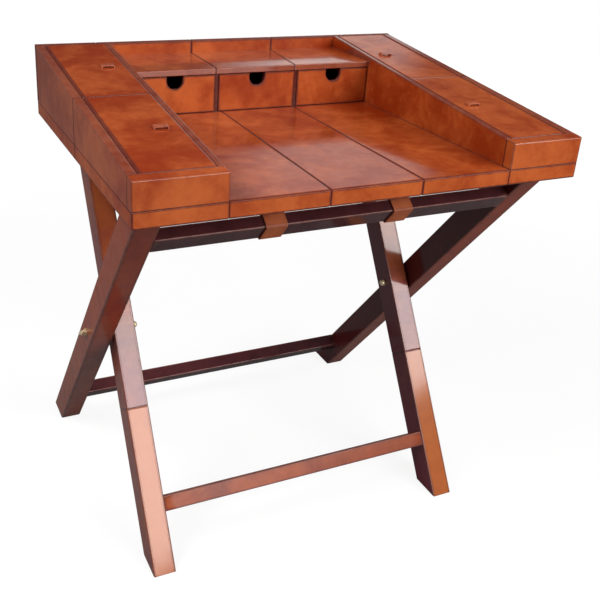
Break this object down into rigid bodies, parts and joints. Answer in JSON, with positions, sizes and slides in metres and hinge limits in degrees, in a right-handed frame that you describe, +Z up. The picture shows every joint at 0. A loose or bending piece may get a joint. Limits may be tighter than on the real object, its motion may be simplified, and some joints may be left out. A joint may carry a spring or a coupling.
{
  "type": "campaign desk",
  "caption": "Leather-clad campaign desk: a tray top with sloping lidded side boxes and a drawer gallery on a folding X-frame held by wing nuts.",
  "frame": {"origin": "floor level under the middle of the desk's plan, where the bounding box's bottom face has its centre", "axes": "+Z up, the sitter's side towards -Y, +X to the sitter's right"},
  "size_m": [0.76, 0.6852, 0.8368],
  "materials": {
    "top_leather": "glossy",
    "frame_leather": "glossy",
    "strap_leather": "satin",
    "pull_leather": "satin",
    "lining_leather": "matte",
    "brass": "polished",
    "steel": "brushed"
  },
  "bodies": {
    "outer_frame": {"outer_leg_left": "frame_leather", "outer_leg_right": "frame_leather", "front_rail": "frame_leather", "rear_stretcher": "frame_leather", "front_strap_left": "strap_leather", "front_strap_right": "strap_leather", "front_strap_snaps": "brass", "wing_washers": "brass"},
    "inner_frame": {"inner_leg_left": "frame_leather", "inner_leg_right": "frame_leather", "rear_rail": "frame_leather", "front_stretcher": "frame_leather", "rear_strap_left": "strap_leather", "rear_strap_right": "strap_leather", "rear_strap_snaps": "brass", "pivot_bolts": "brass", "pivot_spacers": "brass"},
    "wing_nut_left": {"wing_nut_left": "brass"},
    "wing_nut_right": {"wing_nut_right": "brass"},
    "desk_top": {"desk_board": "top_leather", "back_board": "top_leather", "gallery_shelf": "top_leather", "lid_rods": "steel", "side_wall_left": "top_leather", "side_wall_right": "top_leather", "inner_wall_left": "top_leather", "inner_wall_right": "top_leather", "front_wall_left": "top_leather", "front_wall_right": "top_leather", "partition_left": "lining_leather", "partition_right": "lining_leather", "lid_ledge_left": "lining_leather", "lid_ledge_right": "lining_leather", "drawer_divider_left": "top_leather", "drawer_divider_right": "top_leather"},
    "lid_front_left": {"lid_front_left": "top_leather", "lid_pull_front_left": "pull_leather"},
    "lid_front_right": {"lid_front_right": "top_leather", "lid_pull_front_right": "pull_leather"},
    "lid_rear_left": {"lid_rear_left": "top_leather", "lid_pull_rear_left": "pull_leather"},
    "lid_rear_right": {"lid_rear_right": "top_leather", "lid_pull_rear_right": "pull_leather"},
    "drawer_left": {"drawer_front_left": "top_leather", "drawer_side_left_a": "lining_leather", "drawer_side_left_b": "lining_leather", "drawer_back_left": "lining_leather", "drawer_floor_left": "lining_leather"},
    "drawer_middle": {"drawer_front_middle": "top_leather", "drawer_side_middle_a": "lining_leather", "drawer_side_middle_b": "lining_leather", "drawer_back_middle": "lining_leather", "drawer_floor_middle": "lining_leather"},
    "drawer_right": {"drawer_front_right": "top_leather", "drawer_side_right_a": "lining_leather", "drawer_side_right_b": "lining_leather", "drawer_back_right": "lining_leather", "drawer_floor_right": "lining_leather"}
  },
  "joints": [
    {"name": "frame_fold", "type": "hinge", "parent": "outer_frame", "child": "inner_frame", "pos_m": [0, 0.00937, 0.363], "axis": [1, 0, 0], "range_deg": [0, 65]},
    {"name": "wing_turn_left", "type": "hinge", "parent": "inner_frame", "child": "wing_nut_left", "pos_m": [-0.3678, 0.00937, 0.363], "axis": [-1, 0, 0], "range_deg": [0, 540]},
    {"name": "wing_turn_right", "type": "hinge", "parent": "inner_frame", "child": "wing_nut_right", "pos_m": [0.3678, 0.00937, 0.363], "axis": [1, 0, 0], "range_deg": [0, 540]},
    {"name": "top_lift", "type": "slide", "parent": "outer_frame", "child": "desk_top", "axis": [0, 0, 1], "range_m": [0, 0.36]},
    {"name": "lid_hinge_front_left", "type": "hinge", "parent": "desk_top", "child": "lid_front_left", "pos_m": [-0.359, -0.32163, 0.77214], "axis": [0, -0.9947, -0.1024], "range_deg": [0, 95]},
    {"name": "lid_hinge_front_right", "type": "hinge", "parent": "desk_top", "child": "lid_front_right", "pos_m": [0.359, -0.32163, 0.77214], "axis": [0, 0.9947, 0.1024], "range_deg": [0, 95]},
    {"name": "lid_hinge_rear_left", "type": "hinge", "parent": "desk_top", "child": "lid_rear_left", "pos_m": [-0.359, -0.02913, 0.80226], "axis": [0, -0.9947, -0.1024], "range_deg": [0, 95]},
    {"name": "lid_hinge_rear_right", "type": "hinge", "parent": "desk_top", "child": "lid_rear_right", "pos_m": [0.359, -0.02913, 0.80226], "axis": [0, 0.9947, 0.1024], "range_deg": [0, 95]},
    {"name": "drawer_slide_left", "type": "slide", "parent": "desk_top", "child": "drawer_left", "axis": [0, -1, 0], "range_m": [0, 0.11]},
    {"name": "drawer_slide_middle", "type": "slide", "parent": "desk_top", "child": "drawer_middle", "axis": [0, -1, 0], "range_m": [0, 0.11]},
    {"name": "drawer_slide_right", "type": "slide", "parent": "desk_top", "child": "drawer_right", "axis": [0, -1, 0], "range_m": [0, 0.11]}
  ],
  "couplings": [
    {"joint": "top_lift", "follows": "frame_fold", "m_per_rad": 0.3}
  ]
}
